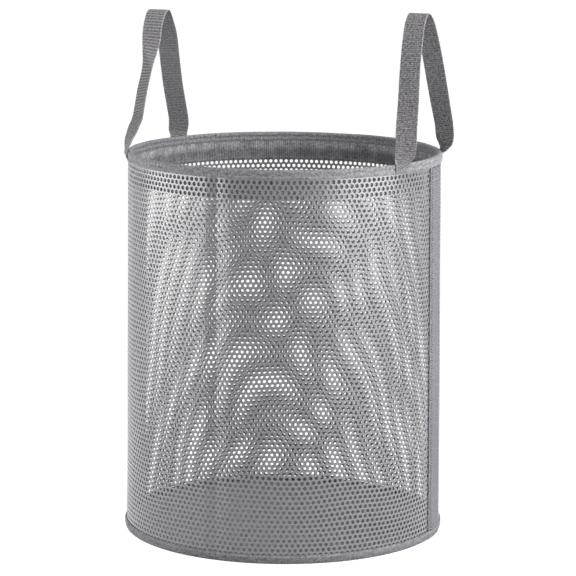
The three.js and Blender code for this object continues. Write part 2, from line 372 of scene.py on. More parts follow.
def clothMaterial(name, look):
    look = {**plainLook, **look}
    material, nodes, shader = newMaterial(name)
    shader.inputs["Specular IOR Level"].default_value = look["specular"]
    shader.inputs["Coat Weight"].default_value = look["coat"]
    shader.inputs["Coat Roughness"].default_value = look["roughness"]
    flat = place(nodes, "ShaderNodeUVMap", uv_map="clothPlace").outputs[0]
    solid = place(nodes, "ShaderNodeTexCoord").outputs["Object"]
    threads = place(nodes, "ShaderNodeGroup", {
        "Place": flat, "Warp Pitch": look["warp"], "Weft Pitch": look["weft"], "Slant": look["slant"],
        "Ribbing": look["ribbing"], "Unevenness": weaving["unevenness"], "Grain": look["grain"],
        "Grit": look["grit"]}, node_tree=weave)
    rubbed = place(nodes, "ShaderNodeGroup", {
        "Place": solid, "Scale": look["patches"], "Strength": look["fading"]}, node_tree=wear)
    threadShade = calc(nodes, "MULTIPLY_ADD", threads.outputs["Shade"], look["contrast"],
                       1 - look["contrast"] / 2)
    shade = calc(nodes, "MULTIPLY", threadShade, rubbed.outputs["Tint"])
    if "paintedShadeStrength" in look:  # painted shade, darker where the piece's painted shade attribute is high
        shadeMask = place(nodes, "ShaderNodeAttribute", attribute_name="paintedShade").outputs["Fac"]
        shade = calc(nodes, "MULTIPLY", shade, calc(nodes, "MULTIPLY_ADD", shadeMask, -look["paintedShadeStrength"], 1.0))
    if "selvedge" in look:  # pale threads along the woven edges
        edge = place(nodes, "ShaderNodeAttribute", attribute_name="selvedge").outputs["Fac"]
        dashes = calc(nodes, "MULTIPLY_ADD", threads.outputs["Height"], look["dashes"], 1 - look["dashes"])
        pale = calc(nodes, "MULTIPLY", calc(nodes, "MULTIPLY", edge, dashes), look["selvedge"])
        shade = calc(nodes, "ADD", shade, pale)
    finishSurface(nodes, shader, look, shade, rubbed.outputs["Rub"], threads.outputs["Height"])
    return material


facingRibs = 487
plainLook = {
    "specular": 0.5, "coat": 0.0, "rubbing": 0.12, "slant": 0.0, "ribbing": 0.0,
    "grain": 450.0, "grit": 1.5, "patches": 12.0, "depth": 0.2 * mm,
}
clothLooks = {
    "meshCloth": {
        "colour": tone(118, 118, 122), "specular": 0.9, "coat": 1.0, "roughness": 0.33,
        "warp": 1.1 * mm, "weft": 0.9 * mm, "contrast": 0.2, "relief": 0.25, "depth": 0.1 * mm,
        "fading": 0.15},
    "bindingCloth": {
        "colour": tone(153, 152, 157), "specular": 0.25, "roughness": 0.6,
        "warp": 2.4 * mm, "weft": 1.8 * mm, "contrast": 0.8, "relief": 0.9, "depth": 0.3 * mm,
        "grain": 300.0, "grit": 4.5, "fading": 0.35, "paintedShadeStrength": 0.22},
    "facingCloth": {
        "colour": tone(180, 179, 184), "specular": 0.2, "roughness": 0.65,
        "warp": turn * rimRadius / facingRibs, "weft": 2.4 * mm, "ribbing": 0.8, "contrast": 1.3,
        "relief": 0.8, "depth": 0.3 * mm, "grain": 330.0, "grit": 2.2,
        "fading": 1.5, "patches": 80.0, "paintedShadeStrength": 0.45},
    "baseCloth": {
        "colour": tone(150, 149, 154), "specular": 0.2, "roughness": 0.7,
        "warp": 2.6 * mm, "weft": 2.4 * mm, "ribbing": 0.3, "contrast": 0.9,
        "relief": 0.8, "depth": 0.3 * mm, "grain": 330.0, "grit": 3.0, "fading": 0.5, "patches": 9.0},
    "casingCloth": {
        "colour": tone(134, 134, 139), "specular": 0.2, "roughness": 0.6,
        "warp": 2.8 * mm, "weft": 11 * mm, "slant": math.radians(-32), "ribbing": 0.75, "contrast": 0.9,
        "relief": 1.0, "depth": 0.6 * mm, "grain": 340.0, "grit": 3.2, "fading": 0.25},
    "webbingCloth": {
        "colour": tone(164, 162, 165), "specular": 0.2, "roughness": 0.65,
        "warp": 2.5 * mm, "weft": 1.8 * mm, "ribbing": 0.5, "contrast": 1.3,
        "relief": 1.0, "depth": 0.5 * mm, "grain": 380.0, "grit": 3.6,
        "fading": 0.4, "paintedShadeStrength": 0.4, "selvedge": 0.5, "dashes": 0.7},
    "sewingThread": {
        "colour": tone(184, 183, 186), "roughness": 0.5,
        "warp": 0.4 * mm, "weft": 1.1 * mm, "slant": 0.6, "contrast": 0.3, "relief": 0.5,
        "fading": 0.08},
}
clothLooks["coarseWebbing"] = {**clothLooks["webbingCloth"], "warp": 3.7 * mm, "contrast": 1.0, "grit": 2.8}
cloths = {name: clothMaterial(name, look) for name, look in clothLooks.items()}


def steelMaterial(name, look):
    material, nodes, shader = newMaterial(name)
    shader.inputs["Metallic"].default_value = 1.0
    solid = place(nodes, "ShaderNodeTexCoord").outputs["Object"]
    rubbed = place(nodes, "ShaderNodeGroup", {
        "Place": solid, "Scale": look["stains"], "Strength": look["staining"]}, node_tree=wear)
    grain = place(nodes, "ShaderNodeTexNoise", {
        "Vector": solid, "Scale": look["grain"], "Detail": look["grainDetail"]})
    finishSurface(nodes, shader, look, rubbed.outputs["Tint"], rubbed.outputs["Rub"], grain.outputs["Fac"])
    return material


steel = steelMaterial("springSteel", {
    "colour": tone(190, 192, 196), "roughness": 0.325, "rubbing": 0.25, "stains": 30.0, "staining": 0.3,
    "grain": 1400.0, "grainDetail": 2.0, "relief": 0.2, "depth": 0.05 * mm})
print("materials made")

# Mesh walls, knitted with round holes in rows
meshWall = {
    "columns": 90,
    "bandRows": (20, 19, 20, 19),
    "holeRadius": 2.0 * mm,
    "lipRound": 0.5 * mm,
    "thickness": 0.8 * mm,
    "mergeWithin": 0.05 * mm,
    "seamGap": 0.4 * mm,
    "drift": 1.1 * mm,
    "driftStart": 0.7,
    "stillEdge": 50 * mm,
    "stillFootShare": 0.15,
    "stillRimShares": (0.8, 0.98),
    "driftLengths": {"sideways": (34 * mm, 19 * mm), "upward": (29 * mm, 17 * mm)},
    "driftTurns": {"sideways": (5.1, 7.7, -9), "upward": (-4.3, 8.9, 11)},
    "finerShare": 0.6,
}
meshWall["rows"] = sum(meshWall["bandRows"])
meshWall["width"] = math.pi * (wallFootRadius + wallRimRadius) / 2 - 2 * meshWall["seamGap"]
meshWall["columnPitch"] = meshWall["width"] / (meshWall["columns"] + 1 / 2)
meshWall["rowPitch"] = (wallTop - wallBottom) / (meshWall["rows"] + 1 / 3)


def holeCell():
    # one six-sided patch of cloth with its hole, from the front outline round to the back one
    halfPitch, tip = meshWall["columnPitch"] / 2, meshWall["rowPitch"] * 2 / 3
    corners = [(halfPitch, tip / 2), (0, tip), (-halfPitch, tip / 2),
               (-halfPitch, -tip / 2), (0, -tip), (halfPitch, -tip / 2)]
    outline = []
    for index, (x, y) in enumerate(corners):
        nextX, nextY = corners[(index + 1) % len(corners)]
        outline += [(x, y), ((x + nextX) / 2, (y + nextY) / 2)]
    half = meshWall["thickness"] / 2
    lip = meshWall["holeRadius"] + meshWall["lipRound"]
    hole = meshWall["holeRadius"]
    rings = [(None, half), (lip, half), (hole, 0), (lip, -half), (None, -half)]
    points = []
    for radius, depth in rings:
        for x, y in outline:
            reach = math.hypot(x, y)
            scale = 1 if radius is None else radius / reach
            points.append((x * scale, y * scale, depth))
    sides = len(outline)
    faces = []
    for ring in range(len(rings) - 1):
        for side in range(sides):
            nextSide = (side + 1) % sides
            faces.append((ring * sides + side, ring * sides + nextSide,
                          (ring + 1) * sides + nextSide, (ring + 1) * sides + side))
    mesh = bpy.data.meshes.new("holeCell")
    mesh.from_pydata(points, [], faces)
    # the faces of the cloth stay flat, and only the wall of the hole is rounded
    mesh.polygons.foreach_set("use_smooth", [sides <= face < 3 * sides for face in range(len(faces))])
    return mesh


def perforatedTree():
    tree, given, leave = nodeGroup("perforatedCloth", "GeometryNodeTree", {
        "Geometry": "Geometry", "Cell": "Object", "Columns": "Int", "Rows": "Int", "First Row": "Int",
        "Column Pitch": "Float", "Row Pitch": "Float", "Thickness": "Float", "Material": "Material",
    }, {"Geometry": "Geometry"})
    count = calc(tree, "MULTIPLY", given["Columns"], given["Rows"])
    index = place(tree, "GeometryNodeInputIndex").outputs[0]
    column = calc(tree, "MODULO", index, given["Columns"])
    row = calc(tree, "ADD", calc(tree, "FLOOR", calc(tree, "DIVIDE", index, given["Columns"])),
               given["First Row"])
    stagger = calc(tree, "MULTIPLY", calc(tree, "MODULO", row, 2.0), 0.5)
    spot = place(tree, "ShaderNodeCombineXYZ", {
        "X": calc(tree, "MULTIPLY", calc(tree, "ADD", column, stagger), given["Column Pitch"]),
        "Y": calc(tree, "MULTIPLY", row, given["Row Pitch"])})
    holes = place(tree, "GeometryNodePoints", {"Count": count})
    laid = place(tree, "GeometryNodeSetPosition", {
        "Geometry": holes.outputs[0], "Position": spot.outputs[0]})
    cell = place(tree, "GeometryNodeObjectInfo", {"Object": given["Cell"]})
    copies = place(tree, "GeometryNodeInstanceOnPoints", {
        "Points": laid.outputs[0], "Instance": cell.outputs["Geometry"]})
    whole = place(tree, "GeometryNodeRealizeInstances", {"Geometry": copies.outputs[0]})
    joined = place(tree, "GeometryNodeMergeByDistance", {
        "Geometry": whole.outputs[0], "Distance": meshWall["mergeWithin"]})
    # the outline of the front face turns back through the cloth to the outline of the back one
    around = place(tree, "GeometryNodeInputMeshEdgeNeighbors").outputs[0]
    alone = place(tree, "FunctionNodeCompare", data_type="INT", operation="EQUAL")
    feed(tree, alone.inputs[2], around)
    feed(tree, alone.inputs[3], 1)
    position = place(tree, "GeometryNodeInputPosition").outputs[0]
    here = place(tree, "ShaderNodeSeparateXYZ", {"Vector": position})
    front = calc(tree, "GREATER_THAN", here.outputs["Z"], 0.0)
    rimEdge = place(tree, "FunctionNodeBooleanMath", {0: alone.outputs[0], 1: front}, operation="AND")
    through = place(tree, "ShaderNodeCombineXYZ", {"Z": calc(tree, "MULTIPLY", given["Thickness"], -1.0)})
    edged = place(tree, "GeometryNodeExtrudeMesh", {
        "Mesh": joined.outputs[0], "Selection": rimEdge.outputs[0], "Offset": through.outputs[0],
        "Offset Scale": 1.0}, mode="EDGES")
    crisp = place(tree, "GeometryNodeSetShadeSmooth", {
        "Geometry": edged.outputs["Mesh"], "Selection": edged.outputs["Side"], "Shade Smooth": False})
    closed = place(tree, "GeometryNodeMergeByDistance", {
        "Geometry": crisp.outputs[0], "Distance": meshWall["mergeWithin"]})
    return endTree(tree, closed.outputs[0], given["Material"], leave)


def knitDrift(across, up, phase):
    # the rows of holes wander a little in the cloth, less towards its sewn edges
    look = meshWall
    rise = up / (wallTop - wallBottom)
    free = (smoothStep(np.minimum(across, look["width"] - across), 0, look["stillEdge"])
            * smoothStep(rise, 0, look["stillFootShare"]) * (1 - smoothStep(rise, *look["stillRimShares"])))
    broad, fine = look["driftLengths"]["sideways"]
    lean, climb, fineLean = (factor * rise for factor in look["driftTurns"]["sideways"])
    sideways = (np.sin(across / broad + lean + phase) * np.cos(climb - phase)
                + look["finerShare"] * np.sin(across / fine + fineLean + 2 * phase))
    broad, fine = look["driftLengths"]["upward"]
    lean, climb, fineLean = (factor * rise for factor in look["driftTurns"]["upward"])
    upward = (np.cos(across / broad + lean + 2.2 * phase) * np.sin(climb + phase)
              + look["finerShare"] * np.cos(across / fine + fineLean + phase))
    return look["drift"] * free * sideways, look["drift"] * free * upward


def wrapWall(mesh, startAngle):
    # flat cloth goes round the body; its flat place is kept for the pattern of the cloth
    flat = pointsOf(mesh)
    across = flat[:, 0] + meshWall["columnPitch"] / 2 + meshWall["seamGap"]
    up = flat[:, 1] + meshWall["rowPitch"] * 2 / 3
    sideways, upward = knitDrift(across, up, startAngle + meshWall["driftStart"])
    angle = startAngle + (across + sideways) / (meshWall["width"] + 2 * meshWall["seamGap"]) * math.pi
    height = wallBottom + up + upward
    radius = wallRadius(angle, height) - meshWall["thickness"] / 2 + flat[:, 2]
    bent = np.stack([radius * np.cos(angle), radius * np.sin(angle), height], 1)
    mesh.vertices.foreach_set("co", bent.ravel())
    layFlat(mesh, np.stack([across, up], 1))
    mesh.update()


cell = newObject("holeCellShape", holeCell())
perforated = perforatedTree()
for side, startAngle in (("Front", -math.pi), ("Back", 0.0)):
    firstRow = 0
    for band, rows in enumerate(meshWall["bandRows"]):
        source = newObject("wallSource", bpy.data.meshes.new("wallSource"))
        grown = growMesh(source, perforated, {
            "Cell": cell, "Columns": meshWall["columns"], "Rows": rows, "First Row": firstRow,
            "Column Pitch": meshWall["columnPitch"], "Row Pitch": meshWall["rowPitch"],
            "Thickness": meshWall["thickness"], "Material": cloths["meshCloth"]})
        bpy.data.objects.remove(source)
        wrapWall(grown, startAngle)
        piece = addPiece(f"meshWall{side}{band + 1}", grown, cloths["meshCloth"])
        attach(piece, "base")
        squashWithBody(piece)
        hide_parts("mesh_wall_" + side.lower())
        firstRow += rows
bpy.data.objects.remove(cell)
print("mesh walls made")

# Stitches: a row of short thread lengths along a line on the cloth
sewing = {"looseness": 0.12, "seed": 7, "segments": 6, "rings": 4, "bluntness": 0.7, "ringPoints": 720}


def stitchShape(length, width, rise):
    mesh = bpy.data.meshes.new("stitchShape")
    work = bmesh.new()
    bmesh.ops.create_uvsphere(work, u_segments=sewing["segments"], v_segments=sewing["rings"], radius=0.5)
    for vertex in work.verts:
        x, y, z = vertex.co
        vertex.co = (math.copysign(abs(z * 2) ** sewing["bluntness"], z) * length / 2, x * width, y * rise)
    bmesh.ops.recalc_face_normals(work, faces=work.faces)
    for face in work.faces:
        face.smooth = True
    work.to_mesh(mesh)
    work.free()
    return mesh


def stitchTree():
    tree, given, leave = nodeGroup("stitchRow", "GeometryNodeTree", {
        "Geometry": "Geometry", "Stitch": "Object", "Pitch": "Float", "Looseness": "Float",
        "Seed": "Int", "Material": "Material"}, {"Geometry": "Geometry"})
    line = place(tree, "GeometryNodeMeshToCurve", {"Mesh": given["Geometry"]})
    spaced = place(tree, "GeometryNodeResampleCurve", {"Curve": line.outputs[0], "Length": given["Pitch"]},
                   mode="LENGTH")
    outward = place(tree, "GeometryNodeInputNamedAttribute", {"Name": "outward"}, data_type="FLOAT_VECTOR")
    tangent = place(tree, "GeometryNodeInputTangent").outputs[0]
    ahead = place(tree, "FunctionNodeAlignRotationToVector", {"Vector": tangent}, axis="X")
    upright = place(tree, "FunctionNodeAlignRotationToVector", {
        "Rotation": ahead.outputs[0], "Vector": outward.outputs[0]}, axis="Z", pivot_axis="X")
    loose = place(tree, "FunctionNodeRandomValue", {"Seed": given["Seed"]}, data_type="FLOAT")
    swing = calc(tree, "MULTIPLY", calc(tree, "SUBTRACT", loose.outputs[1], 0.5), given["Looseness"])
    tilt = place(tree, "FunctionNodeAxisAngleToRotation", {"Axis": (0.0, 0.0, 1.0), "Angle": swing})
    turned = place(tree, "FunctionNodeRotateRotation", {
        "Rotation": upright.outputs[0], "Rotate By": tilt.outputs[0]}, rotation_space="LOCAL")
    stitch = place(tree, "GeometryNodeObjectInfo", {"Object": given["Stitch"]})
    copies = place(tree, "GeometryNodeInstanceOnPoints", {
        "Points": spaced.outputs[0], "Instance": stitch.outputs["Geometry"],
        "Rotation": turned.outputs[0]})
    return endTree(tree, copies.outputs[0], given["Material"], leave)


stitchRow = stitchTree()


def sewRows(name, body, rows, thread):
    # rows is a list of (points, outward directions, closed); all of one piece and one body
    points, outward, edges = [], [], []
    for line, away, closed in rows:
        start = len(points)
        points += [tuple(point) for point in line]
        outward += [tuple(direction) for direction in away]
        edges += [(start + k, start + k + 1) for k in range(len(line) - 1)]
        if closed:
            edges.append((len(points) - 1, start))
    mesh = bpy.data.meshes.new(name)
    mesh.from_pydata(points, edges, [])
    layer = mesh.attributes.new("outward", "FLOAT_VECTOR", "POINT")
    layer.data.foreach_set("vector", np.array(outward, dtype=np.float32).ravel())
    source = newObject("stitchSource", mesh)
    shape = newObject("stitchOne", stitchShape(thread["length"], thread["width"], thread["rise"]))
    grown = growMesh(source, stitchRow, {
        "Stitch": shape, "Pitch": thread["pitch"], "Looseness": sewing["looseness"],
        "Seed": sewing["seed"], "Material": cloths["sewingThread"]})
    bpy.data.objects.remove(source)
    bpy.data.objects.remove(shape)
    while grown.attributes.get("outward"):
        grown.attributes.remove(grown.attributes["outward"])
    spots = pointsOf(grown)
    layFlat(grown, np.stack([np.arctan2(spots[:, 1], spots[:, 0]) * rimRadius, spots[:, 2]], 1))
    piece = addPiece(name, grown, cloths["sewingThread"])
    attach(piece, body)
    return piece


def ringRow(radius, height, inward=False):  # a row all round the body; radius is a function of the angle
    angles = roundAngles(sewing["ringPoints"])
    away = np.stack([np.cos(angles), np.sin(angles), 0 * angles], 1)
    return radius(angles)[:, None] * away + [0, 0, height], -away if inward else away, True


# Top binding: cloth folded over the top hoop and sewn through below it
topBinding = {
    "hoopRadius": 186.9 * mm,
    "hoopHeight": 459.9 * mm,
    "rollRadius": 3.1 * mm,
    "rollSteps": 12,
    "clothThickness": 1.0 * mm,
    "foldWidth": 27 * mm,
    "legRows": np.array([452.0, 452.35, 453.0, 454.0, 454.7, 455.4, 456.2, 456.9, 457.4, 458.0, 458.8]) * mm,
    "stitches": 341,
    "stepsPerStitch": 4,
    "pinchHeight": 457.4 * mm,
    "pinchWidth": 0.9 * mm,
    "pinchDepth": 0.75 * mm,
    "edgeWidth": 0.4 * mm,
    "edgeDepth": 0.35 * mm,
    "stitchHeight": 454.7 * mm,
    "pucker": 0.4 * mm,
    "puckerWidth": 1.4 * mm,
    "puckerInward": 0.6,
    "threadOutside": 0.08 * mm,
    "threadInside": 0.02 * mm,
    "seamLump": 0.9 * mm,
    "seamLumpEnds": (17 * mm, 25 * mm),
    "creaseKink": 0.7 * mm,
    "unevenness": 0.22 * mm,
    "unevenPhase": 2.9,
    "fineUnevenness": {"share": 0.4, "waves": 3, "phase": 1.1},
    # a wave of a few thousandths of a millimetre, which grows with the height above the skirt's edge
    "risingPhase": 0.8,
    "legUnevenness": 0.4,
    # waves round the binding, factor of the phase, share of the unevenness
    "unevenWaves": ((5, 1, 0.5), (11, 2.3, 0.3), (23, 0.7, 0.2)),
}
rimThread = {"length": 2.2 * mm, "width": 1.0 * mm, "rise": 0.8 * mm, "pitch": 3.48 * mm}


def bindingKink(angle):  # the crease of the wall shows as a slight kink in both bindings
    return topBinding["creaseKink"] * creaseShape(angle)


def seamLump(angle):  # the bindings are thicker over the side seams
    return 1 - smoothStep(fromSeam(angle), *topBinding["seamLumpEnds"])


def unevenRound(angle, phase):
    waves = topBinding["unevenWaves"]
    return sum(share * np.sin(count * angle + factor * phase) for count, factor, share in waves)


def stitchWave(angles, look):
    return 0.5 + 0.5 * np.cos(look["stitches"] * angles)[:, None] - look["puckerInward"]


def topBindingMesh():
    look = topBinding
    angles = roundAngles(look["stitches"] * look["stepsPerStitch"])
    legRows = look["legRows"]
    legSide = np.ones(len(legRows))
    swing = np.linspace(0, math.pi, look["rollSteps"] + 1)
    roll, inside = look["rollRadius"], look["rollRadius"] - look["clothThickness"]
    hoopR, hoopZ = look["hoopRadius"], look["hoopHeight"]
    # side is 1 on the outer leg, -1 on the inner leg and between them over the roll
    side = np.concatenate([legSide, np.cos(swing), -legSide])
    onLeg = np.abs(side) >= 0.999
    outerR = hoopR + side * roll
    outerZ = np.concatenate([legRows, hoopZ + roll * np.sin(swing), legRows[::-1]])
    innerR = np.concatenate([[hoopR + inside], hoopR + inside * np.cos(swing), [hoopR - inside]])[::-1]
    innerZ = np.concatenate([[skirtBottom], hoopZ + inside * np.sin(swing), [skirtBottom]])[::-1]
    pinch = look["pinchDepth"] * bump(outerZ, look["pinchHeight"], look["pinchWidth"])
    edge = look["edgeDepth"] * bump(outerZ, skirtBottom, look["edgeWidth"])
    sewn = look["pucker"] * bump(outerZ, look["stitchHeight"], look["puckerWidth"])
    lump = seamLump(angles)[:, None] * look["seamLump"] * np.clip(side, 0, 1)
    fine = look["fineUnevenness"]
    swell = unevenRound(angles, look["unevenPhase"])
    swell = swell + fine["share"] * unevenRound(angles * fine["waves"], fine["phase"])
    swell = look["unevenness"] * swell[:, None]
    swellShare = look["legUnevenness"] + (1 - look["legUnevenness"]) * ~onLeg
    rising = look["unevenness"] * unevenRound(angles, look["risingPhase"])[:, None] * (outerZ - skirtBottom)
    away = (stitchWave(angles, look) * sewn - pinch - edge) * onLeg + swell * swellShare
    radius = outerR + side * away + lump + rising
    height = outerZ + np.where(onLeg, 0, np.sqrt(1 - side ** 2)) * swell
    kink = bindingKink(angles)[:, None]
    within = np.zeros((len(angles), 1))
    return ringMesh("topBinding", angles, np.hstack([radius, innerR + within]) - kink,
                    np.hstack([height, innerZ + within]))


def rimOutside(angles):
    look = topBinding
    return (look["hoopRadius"] + look["rollRadius"] + look["threadOutside"] - bindingKink(angles)
            + seamLump(angles) * look["seamLump"])


def rimInside(angles):
    look = topBinding
    return look["hoopRadius"] - look["rollRadius"] - look["threadInside"] - bindingKink(angles)


binding = addPiece("topBinding", topBindingMesh(), cloths["bindingCloth"])
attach(binding, "rim")
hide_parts("top_binding")
sewRows("topBindingStitches", "rim", [
    ringRow(rimOutside, topBinding["stitchHeight"]),
    ringRow(rimInside, topBinding["stitchHeight"], inward=True)], rimThread)

# Facing inside the rim: a ribbed band that hangs a little loose at its hem
rimFacing = {
    "ribs": facingRibs,
    "stepsPerRib": 4,
    "ribRise": 0.16 * mm,
    "backRibShare": 0.5,
    "innerRadius": 185.1 * mm,
    "thickness": 0.8 * mm,
    "wallGap": 2.2 * mm,
    "looseness": 0.8 * mm,
    # waves round the band, phase, share of the looseness
    "looseWaves": ((9, 1.2, 0.35), (21, 0.4, 0.15)),
    "tapeRoom": 1.7 * mm,
    "tapeRoomEnds": (22 * mm, 42 * mm),
    "kinkShare": 0.4,
    "hangEnds": (434 * mm, 449 * mm),
    "hemRows": np.array([0, 0.4, 1.6, 2.6, 3.6]) * mm,
    "bodyRows": np.linspace(6, 29.8, 10) * mm,
    "hemRise": 0.35 * mm,
    "hemEnds": (2.4 * mm, 3.4 * mm),
    "edgeRound": 0.3 * mm,
    # heights over which the painted shade on the facing's inner face fades out
    "paintedShadeEnds": (439 * mm, 446 * mm),
    "stitchHeight": 430.6 * mm,
    "threadRoom": 0.45 * mm,
}
hemThread = {"length": 2.3 * mm, "width": 0.7 * mm, "rise": 0.5 * mm, "pitch": 3.2 * mm}


def facingRadius(angle, height):
    # held by the binding above, and hanging along the wall and clear of the side tapes below
    look = rimFacing
    wave = 0.5 + sum(share * np.sin(count * angle + phase) for count, phase, share in look["looseWaves"])
    besideTape = 1 - smoothStep(fromSeam(angle), *look["tapeRoomEnds"])
    atRim = look["innerRadius"] - look["kinkShare"] * bindingKink(angle)
    alongWall = (wallRadius(angle, height) - look["wallGap"] - look["looseness"] * wave
                 - look["tapeRoom"] * besideTape)
    return alongWall + (atRim - alongWall) * smoothStep(height, *look["hangEnds"])


def facingMesh():
    look = rimFacing
    angles = roundAngles(look["ribs"] * look["stepsPerRib"])
    rows = np.concatenate([look["hemRows"], look["bodyRows"]])
    heights = rows + facingBottom
    rib = np.cos(look["ribs"] * angles)[:, None] * look["ribRise"]
    plain = facingRadius(angles[:, None], heights)
    hem = look["hemRise"] * (1 - smoothStep(rows, *look["hemEnds"]))
    inner = plain - rib - hem + look["edgeRound"] * bump(rows, 0, look["edgeRound"])
    outer = plain + look["thickness"] + rib * look["backRibShare"]
    level = np.broadcast_to(np.concatenate([heights, heights[::-1]]), (len(angles), 2 * len(heights)))
    mesh = ringMesh("rimFacing", angles, np.hstack([inner, outer[:, ::-1]]), level)
    # painted shade on the inner face, over its lower part up to a fade below the binding; the outer face has
    # none
    inFront = np.repeat([1.0, 0.0], len(heights))
    return paint(mesh, "paintedShade", inFront * (1 - smoothStep(level, *look["paintedShadeEnds"])))


def facingHem(angles):
    return facingRadius(angles, rimFacing["stitchHeight"]) - rimFacing["threadRoom"]


facing = addPiece("rimFacing", facingMesh(), cloths["facingCloth"])
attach(facing, "rim")
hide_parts("rim_facing")
sewRows("facingHemStitches", "rim", [ringRow(facingHem, rimFacing["stitchHeight"], inward=True)],
        hemThread)

# Bottom binding, which the hamper stands on
bottomBinding = {
    "hoopRadius": 190.4 * mm,
    "hoopHeight": 3.1 * mm,
    "rollRadius": 3.1 * mm,
    "rollSteps": 12,
    "backSteps": 8,
    "backRise": (0.6 * mm, 0.9 * mm),
    "tuckUnderPanel": 0.3 * mm,
    "clothThickness": 1.0 * mm,
    "foldWidth": 26 * mm,
    "legRows": np.array([11.0, 10.75, 10.2, 9.5, 8.9, 8.3, 7.5, 6.4, 5.2, 4.1, 3.1]) * mm,
    "bulge": 0.9 * mm,
    "bulgeHeight": 6.4 * mm,
    "bulgeWidth": 3.2 * mm,
    "edgeDepth": 0.5 * mm,
    "edgeWidth": 0.8 * mm,
    "seamLump": 1.1 * mm,
    "kinkShare": 0.9,
    "stitches": 348,
    "stepsPerStitch": 4,
    "stitchHeight": 8.9 * mm,
    "pucker": 0.35 * mm,
    "puckerWidth": 1.4 * mm,
    "puckerInward": 0.6,
    "threadOutside": 0.08 * mm,
    "unevenness": 0.25 * mm,
    "unevenPhase": 4.4,
}


def footOutside(angle, height):
    look = bottomBinding
    swell = look["bulge"] * bump(height, look["bulgeHeight"], look["bulgeWidth"])
    edge = look["edgeDepth"] * bump(height, footBandTop, look["edgeWidth"])
    uneven = look["unevenness"] * unevenRound(angle, look["unevenPhase"])
    return (look["hoopRadius"] + look["rollRadius"] + swell - edge + uneven
            + look["seamLump"] * seamLump(angle) - look["kinkShare"] * bindingKink(angle))


def footRow(angles):
    return footOutside(angles, bottomBinding["stitchHeight"]) + bottomBinding["threadOutside"]


def bottomBindingMesh():
    look = bottomBinding
    angles = roundAngles(look["stitches"] * look["stepsPerStitch"])
    legRows = look["legRows"]
    roll, inside = look["rollRadius"], look["rollRadius"] - look["clothThickness"]
    hoopR, hoopZ = look["hoopRadius"], look["hoopHeight"]
    sewn = look["pucker"] * bump(legRows, look["stitchHeight"], look["puckerWidth"])
    leg = footOutside(angles[:, None], legRows) + stitchWave(angles, look) * sewn
    # round the hoop from the outer leg to the inner one
    swing = np.linspace(0, -math.pi, look["rollSteps"] + 1)[1:]
    under = hoopR + np.where(np.cos(swing) > 0, leg[:, -1:] - hoopR, roll) * np.cos(swing)
    innerLeg = np.full((len(angles), 2), hoopR - roll)
    # and back inside the cloth
    swingBack = np.linspace(-math.pi, 0, look["backSteps"] + 1)
    back = np.concatenate([[hoopR - inside] * 2, hoopR + inside * np.cos(swingBack), [hoopR + inside]])
    tuck = panelBottom - look["tuckUnderPanel"]
    low, high = look["backRise"]
    height = np.concatenate([legRows, hoopZ + roll * np.sin(swing), [hoopZ + high, tuck, tuck, hoopZ + low],
                             hoopZ + inside * np.sin(swingBack), [footBandTop]])
    radius = np.hstack([leg, under, innerLeg, np.broadcast_to(back, (len(angles), len(back)))])
    mesh = ringMesh("bottomBinding", angles, radius, np.broadcast_to(height, radius.shape))
    # painted shade over the whole bottom binding, so it shows darker than the same cloth in the top binding
    return paint(mesh, "paintedShade", np.ones(radius.shape))


footBinding = addPiece("bottomBinding", bottomBindingMesh(), cloths["bindingCloth"])
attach(footBinding, "base")
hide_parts("bottom_binding")
sewRows("bottomBindingStitches", "base", [ringRow(footRow, bottomBinding["stitchHeight"])], rimThread)

# Base panel: a round cloth sewn in at the foot
basePanel = {
    "radius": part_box("base_panel")[1].x,
    "thickness": panelTop - panelBottom,
    "sag": 1.6 * mm,
    "sagEnds": (0.86, 0.97),
    "columns": 180,
    "ringShares": np.concatenate([[0], np.linspace(0.04, 0.96, 24), [0.985, 1.0]]),
    "mergeWithin": 0.02 * mm,
}


def basePanelMesh():
    look = basePanel
    angles = roundAngles(look["columns"])
    spread = look["ringShares"] * look["radius"]
    out = np.concatenate([spread, spread[::-1]])
    x, y = out * np.cos(angles[:, None]), out * np.sin(angles[:, None])
    free = 1 - smoothStep(out / look["radius"], *look["sagEnds"])
    # slow waves across the panel, in radians for each metre
    waves = 0.55 + 0.2 * np.sin(23 * x + 1) * np.cos(19 * y) + 0.25 * np.sin(11 * (x - y))
    top = np.repeat([1.0, 0.0], len(spread))
    points = np.stack([x, y, panelBottom + top * look["thickness"] - look["sag"] * free * waves], 2)
    across = np.arange(len(out) + 1) / len(out)
    mesh = gridMesh("basePanel", points, np.append(angles, turn), across, looped=True)
    work = bmesh.new()
    work.from_mesh(mesh)
    bmesh.ops.remove_doubles(work, verts=work.verts, dist=look["mergeWithin"])
    bmesh.ops.dissolve_degenerate(work, edges=work.edges, dist=look["mergeWithin"] / 20)
    bmesh.ops.recalc_face_normals(work, faces=work.faces)
    layer = work.loops.layers.uv.active
    for face in work.faces:
        for corner in face.loops:
            corner[layer].uv = corner.vert.co.xy
    work.to_mesh(mesh)
    work.free()
    return mesh


panel = addPiece("basePanel", basePanelMesh(), cloths["baseCloth"])
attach(panel, "base")
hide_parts("base_panel")
print("bindings, facing and base made")

